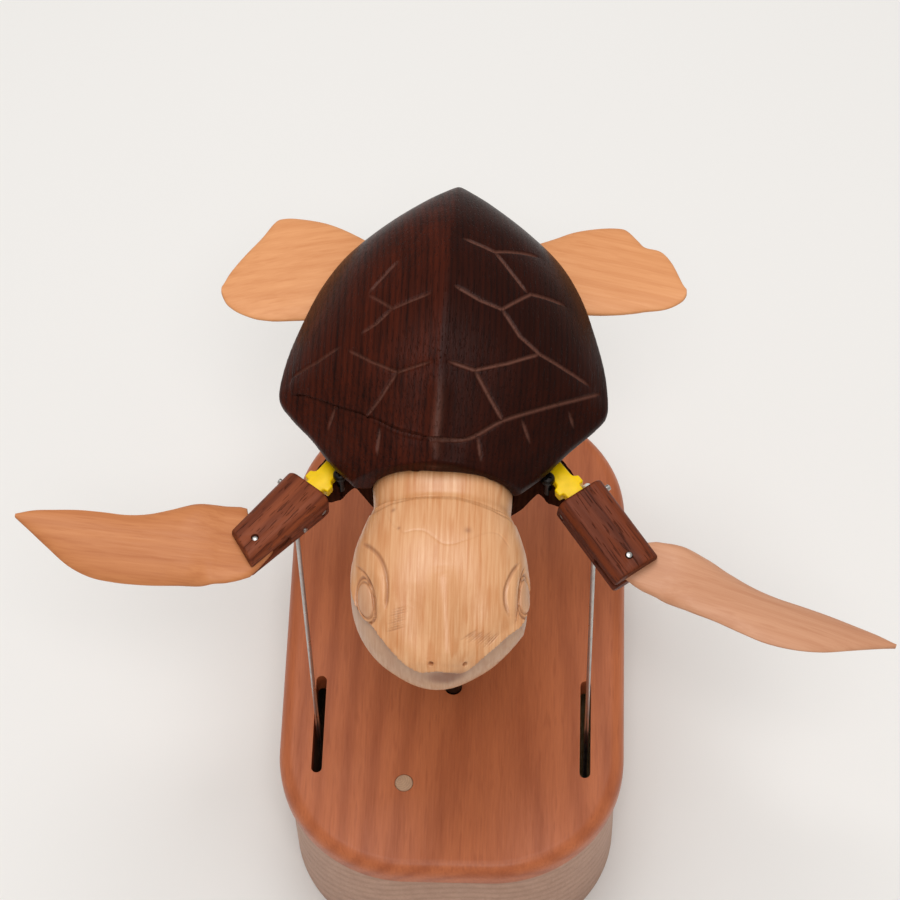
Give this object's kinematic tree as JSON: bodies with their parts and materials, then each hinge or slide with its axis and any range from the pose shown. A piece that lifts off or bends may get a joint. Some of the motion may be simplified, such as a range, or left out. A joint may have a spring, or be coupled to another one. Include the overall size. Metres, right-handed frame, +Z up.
{
  "type": "wooden crank automaton",
  "caption": "Hand-cranked wooden automaton: a carved sea turtle on a post above a low rounded box, with steel push wires that flap its jointed front flippers.",
  "frame": {"origin": "middle of the box's underside", "axes": "+Z up, -Y the way the turtle looks, +X to the right as seen from in front of it"},
  "size_m": [0.2533, 0.2067, 0.213],
  "materials": {
    "cherry": "satin oiled, lengthwise grain",
    "pale_wood": "satin",
    "maple": "bare, carved, satin",
    "orange_maple": "bare, sanded",
    "wenge": "oiled, semi-gloss",
    "walnut": "oiled, open pores",
    "plywood": "bare",
    "steel": "bright drawn wire",
    "black_steel": "black",
    "brass": "turned",
    "yellow_plastic": "moulded",
    "white_plastic": "moulded"
  },
  "bodies": {
    "base": {"lid_board": "cherry", "lid_plug": "pale_wood", "housing_wall": "pale_wood", "bottom_board": "plywood", "floor_screw_left": "brass", "floor_screw_right": "brass", "floor_screw_back": "brass", "crankshaft_bearing_left": "plywood", "crankshaft_bearing_right": "plywood", "input_bearing": "plywood", "rear_bush": "brass", "support_post": "black_steel", "body_block": "wenge", "shell": "wenge", "neck_and_head": "maple", "rear_flipper_left": "orange_maple", "rear_flipper_right": "orange_maple", "shoulder_link_left": "yellow_plastic", "shoulder_link_right": "yellow_plastic", "clamp_screw_left": "black_steel", "clamp_screw_right": "black_steel"},
    "crank": {"input_shaft": "steel", "crown_wheel": "maple", "shaft_collar": "brass", "crank_arm": "walnut", "knob_spindle": "steel"},
    "knob": {"crank_knob": "maple"},
    "crankshaft": {"crankshaft": "steel", "crank_disc_left": "maple", "crank_disc_right": "maple", "crank_pin_left": "steel", "crank_pin_right": "steel", "driven_wheel": "maple"},
    "left_arm": {"upper_arm_left": "walnut", "shoulder_nail_left": "steel", "shoulder_washer_left": "white_plastic", "wire_pin_left": "steel", "elbow_pin_left": "steel"},
    "left_flipper": {"front_flipper_left": "orange_maple"},
    "left_wire": {"push_wire_left": "steel"},
    "right_arm": {"upper_arm_right": "walnut", "shoulder_nail_right": "steel", "shoulder_washer_right": "white_plastic", "wire_pin_right": "steel", "elbow_pin_right": "steel"},
    "right_flipper": {"front_flipper_right": "orange_maple"},
    "right_wire": {"push_wire_right": "steel"}
  },
  "joints": [
    {"name": "crank_turn", "type": "hinge", "parent": "base", "child": "crank", "pos_m": [0, 0.07, 0.0295], "axis": [0, 1, 0], "continuous": true},
    {"name": "knob_spin", "type": "hinge", "parent": "crank", "child": "knob", "pos_m": [0, 0.107, 0.0095], "axis": [0, 1, 0], "continuous": true},
    {"name": "crankshaft_turn", "type": "hinge", "parent": "base", "child": "crankshaft", "pos_m": [0, -0.036, 0.0295], "axis": [1, 0, 0], "continuous": true},
    {"name": "left_flap", "type": "hinge", "parent": "base", "child": "left_arm", "pos_m": [-0.041, -0.0188, 0.178], "axis": [-0.7986, 0.6018, 0], "range_deg": [-20, 20]},
    {"name": "left_elbow", "type": "hinge", "parent": "left_arm", "child": "left_flipper", "pos_m": [-0.05396, -0.03599, 0.17993], "axis": [0.0315, 0.0418, 0.9986], "range_deg": [-8, 20]},
    {"name": "left_wire_swing", "type": "hinge", "parent": "left_arm", "child": "left_wire", "pos_m": [-0.0429, -0.0273, 0.17842], "axis": [-0.7986, 0.6018, 0], "range_deg": [-20, 20]},
    {"name": "right_flap", "type": "hinge", "parent": "base", "child": "right_arm", "pos_m": [0.0394, -0.0188, 0.178], "axis": [-0.7986, -0.6018, 0], "range_deg": [-20, 20]},
    {"name": "right_elbow", "type": "hinge", "parent": "right_arm", "child": "right_flipper", "pos_m": [0.05228, -0.0359, 0.17504], "axis": [0.1045, -0.1387, 0.9848], "range_deg": [-20, 20]},
    {"name": "right_wire_swing", "type": "hinge", "parent": "right_arm", "child": "right_wire", "pos_m": [0.0429, -0.02943, 0.17613], "axis": [-0.7986, -0.6018, 0], "range_deg": [-20, 20]}
  ],
  "couplings": [
    {"joint": "crankshaft_turn", "follows": "crank_turn", "ratio": -1},
    {"joint": "right_flap", "follows": "left_flap", "ratio": 1},
    {"joint": "left_wire_swing", "follows": "left_flap", "ratio": -1},
    {"joint": "right_wire_swing", "follows": "left_flap", "ratio": -1}
  ]
}
